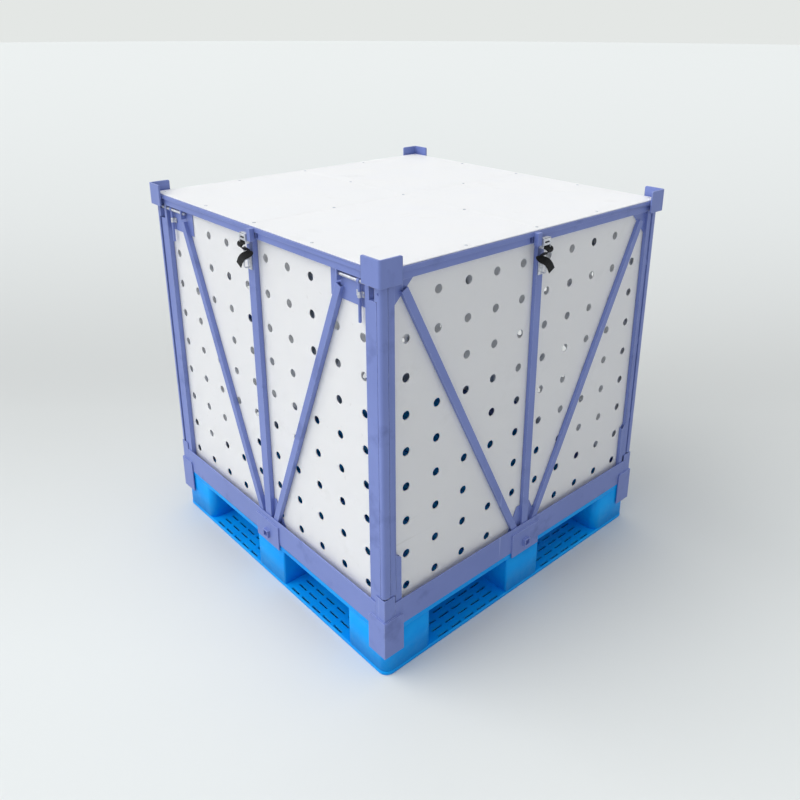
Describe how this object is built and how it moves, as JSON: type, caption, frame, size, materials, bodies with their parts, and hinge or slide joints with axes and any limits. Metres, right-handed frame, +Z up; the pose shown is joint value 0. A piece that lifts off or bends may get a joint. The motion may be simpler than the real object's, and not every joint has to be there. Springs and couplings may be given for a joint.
{
  "type": "steel returnable container",
  "caption": "Square steel cage container on a plastic four-way pallet, with braced perforated walls, fold-down latched sides and a lift-off stacking lid.",
  "frame": {"origin": "on the ground under the middle of the container", "axes": "+Z up; -Y towards the front latched wall, seen at the left in the picture; +X towards the right side wall, seen at the right in the picture"},
  "size_m": [1.1572, 1.1572, 1.166],
  "materials": {
    "violet_blue_paint": "satin violet-blue enamel",
    "pallet_plastic": "satin moulded blue plastic",
    "white_sheet": "smooth white sheet",
    "zinc_plated_steel": "dull zinc plating",
    "black_webbing": "woven black webbing"
  },
  "bodies": {
    "base": {"pallet": "pallet_plastic", "rim_front": "violet_blue_paint", "rim_right": "violet_blue_paint", "rim_back": "violet_blue_paint", "rim_left": "violet_blue_paint", "base_corner_front_left": "violet_blue_paint", "base_corner_front_right": "violet_blue_paint", "base_corner_back_left": "violet_blue_paint", "base_corner_back_right": "violet_blue_paint", "left_wall_frame": "violet_blue_paint", "left_wall_panel": "white_sheet", "strap_staple_left": "zinc_plated_steel", "left_wall_corner_post_front": "violet_blue_paint", "left_wall_corner_post_back": "violet_blue_paint", "right_wall_frame": "violet_blue_paint", "right_wall_panel": "white_sheet", "strap_staple_right": "zinc_plated_steel", "right_wall_corner_post_front": "violet_blue_paint", "right_wall_corner_post_back": "violet_blue_paint"},
    "front_wall": {"front_wall_frame": "violet_blue_paint", "front_wall_panel": "white_sheet", "strap_staple_front": "zinc_plated_steel"},
    "front_bolt_left": {"front_bolt_left": "zinc_plated_steel"},
    "front_handle_left": {"front_handle_left": "violet_blue_paint", "front_clip_left": "zinc_plated_steel"},
    "front_bolt_right": {"front_bolt_right": "zinc_plated_steel"},
    "front_handle_right": {"front_handle_right": "violet_blue_paint", "front_clip_right": "zinc_plated_steel"},
    "back_wall": {"back_wall_frame": "violet_blue_paint", "back_wall_panel": "white_sheet", "strap_staple_back": "zinc_plated_steel"},
    "back_bolt_left": {"back_bolt_left": "zinc_plated_steel"},
    "back_handle_left": {"back_handle_left": "violet_blue_paint", "back_clip_left": "zinc_plated_steel"},
    "back_bolt_right": {"back_bolt_right": "zinc_plated_steel"},
    "back_handle_right": {"back_handle_right": "violet_blue_paint", "back_clip_right": "zinc_plated_steel"},
    "lid": {"lid_frame": "violet_blue_paint", "lid_buckle_lug_front": "violet_blue_paint", "lid_buckle_lug_back": "violet_blue_paint", "lid_sheet_front_left": "white_sheet", "lid_sheet_front_right": "white_sheet", "lid_sheet_back_left": "white_sheet", "lid_sheet_back_right": "white_sheet", "lid_bracket_front_left": "violet_blue_paint", "lid_bracket_front_right": "violet_blue_paint", "lid_bracket_back_left": "violet_blue_paint", "lid_bracket_back_right": "violet_blue_paint"},
    "buckle_front": {"buckle_front": "zinc_plated_steel", "strap_front": "black_webbing"},
    "lever_front": {"buckle_lever_front": "zinc_plated_steel"},
    "buckle_right": {"buckle_right": "zinc_plated_steel", "strap_right": "black_webbing"},
    "lever_right": {"buckle_lever_right": "zinc_plated_steel"},
    "buckle_back": {"buckle_back": "zinc_plated_steel", "strap_back": "black_webbing"},
    "lever_back": {"buckle_lever_back": "zinc_plated_steel"},
    "buckle_left": {"buckle_left": "zinc_plated_steel", "strap_left": "black_webbing"},
    "lever_left": {"buckle_lever_left": "zinc_plated_steel"}
  },
  "joints": [
    {"name": "front_wall_fold", "type": "hinge", "parent": "base", "child": "front_wall", "pos_m": [0, -0.536, 0.1603], "axis": [-1, 0, 0], "range_deg": [0, 90]},
    {"name": "front_bolt_left_slide", "type": "slide", "parent": "front_wall", "child": "front_bolt_left", "axis": [1, 0, 0], "range_m": [-0.012, 0]},
    {"name": "front_handle_left_swing", "type": "hinge", "parent": "front_bolt_left", "child": "front_handle_left", "pos_m": [-0.466, -0.5431, 1.093], "axis": [1, 0, 0], "range_deg": [-90, 0]},
    {"name": "front_bolt_right_slide", "type": "slide", "parent": "front_wall", "child": "front_bolt_right", "axis": [-1, 0, 0], "range_m": [-0.012, 0]},
    {"name": "front_handle_right_swing", "type": "hinge", "parent": "front_bolt_right", "child": "front_handle_right", "pos_m": [0.466, -0.5431, 1.093], "axis": [1, 0, 0], "range_deg": [-90, 0]},
    {"name": "back_wall_fold", "type": "hinge", "parent": "base", "child": "back_wall", "pos_m": [0, 0.536, 0.2033], "axis": [1, 0, 0], "range_deg": [0, 90]},
    {"name": "back_bolt_left_slide", "type": "slide", "parent": "back_wall", "child": "back_bolt_left", "axis": [-1, 0, 0], "range_m": [-0.012, 0]},
    {"name": "back_handle_left_swing", "type": "hinge", "parent": "back_bolt_left", "child": "back_handle_left", "pos_m": [0.466, 0.5431, 1.093], "axis": [-1, 0, 0], "range_deg": [-90, 0]},
    {"name": "back_bolt_right_slide", "type": "slide", "parent": "back_wall", "child": "back_bolt_right", "axis": [1, 0, 0], "range_m": [-0.012, 0]},
    {"name": "back_handle_right_swing", "type": "hinge", "parent": "back_bolt_right", "child": "back_handle_right", "pos_m": [-0.466, 0.5431, 1.093], "axis": [-1, 0, 0], "range_deg": [-90, 0]},
    {"name": "lid_lift", "type": "slide", "parent": "base", "child": "lid", "axis": [0, 0, 1], "range_m": [0, 0.3]},
    {"name": "buckle_front_swing", "type": "hinge", "parent": "lid", "child": "buckle_front", "pos_m": [0, -0.563, 1.112], "axis": [-1, 0, 0], "range_deg": [0, 90]},
    {"name": "lever_front_open", "type": "hinge", "parent": "buckle_front", "child": "lever_front", "pos_m": [0, -0.56775, 1.099], "axis": [1, 0, 0], "range_deg": [0, 70], "stiffness_Nm_per_rad": 0.02, "springref_deg": -34.38},
    {"name": "buckle_right_swing", "type": "hinge", "parent": "lid", "child": "buckle_right", "pos_m": [0.563, 0, 1.112], "axis": [0, -1, 0], "range_deg": [0, 90]},
    {"name": "lever_right_open", "type": "hinge", "parent": "buckle_right", "child": "lever_right", "pos_m": [0.56775, 0, 1.099], "axis": [0, 1, 0], "range_deg": [0, 70], "stiffness_Nm_per_rad": 0.02, "springref_deg": -34.38},
    {"name": "buckle_back_swing", "type": "hinge", "parent": "lid", "child": "buckle_back", "pos_m": [0, 0.563, 1.112], "axis": [1, 0, 0], "range_deg": [0, 90]},
    {"name": "lever_back_open", "type": "hinge", "parent": "buckle_back", "child": "lever_back", "pos_m": [0, 0.56775, 1.099], "axis": [-1, 0, 0], "range_deg": [0, 70], "stiffness_Nm_per_rad": 0.02, "springref_deg": -34.38},
    {"name": "buckle_left_swing", "type": "hinge", "parent": "lid", "child": "buckle_left", "pos_m": [-0.563, 0, 1.112], "axis": [0, 1, 0], "range_deg": [0, 90]},
    {"name": "lever_left_open", "type": "hinge", "parent": "buckle_left", "child": "lever_left", "pos_m": [-0.56775, 0, 1.099], "axis": [0, -1, 0], "range_deg": [0, 70], "stiffness_Nm_per_rad": 0.02, "springref_deg": -34.38}
  ]
}
